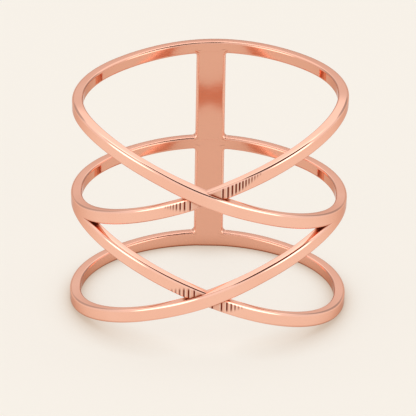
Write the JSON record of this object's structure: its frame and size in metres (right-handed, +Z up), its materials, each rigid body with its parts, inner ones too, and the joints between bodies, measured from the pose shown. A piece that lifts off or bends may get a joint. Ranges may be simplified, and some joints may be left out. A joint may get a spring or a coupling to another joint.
{
  "type": "multi-band ring",
  "caption": "Open criss-cross finger ring in polished rose gold: stacked slim hoops that cross over each other at the front and are joined by a flat post at the back.",
  "frame": {"origin": "on the finger axis, in the plane that the bottom hoop stands on", "axes": "+Z up along the finger axis, -Y to the front where the strands cross, +X to the right of someone looking at the front"},
  "size_m": [0.0188, 0.019, 0.0154],
  "materials": {
    "rose_gold": "polished rose-gold plate"
  },
  "bodies": {
    "root": {"ring": "rose_gold"}
  },
  "joints": []
}
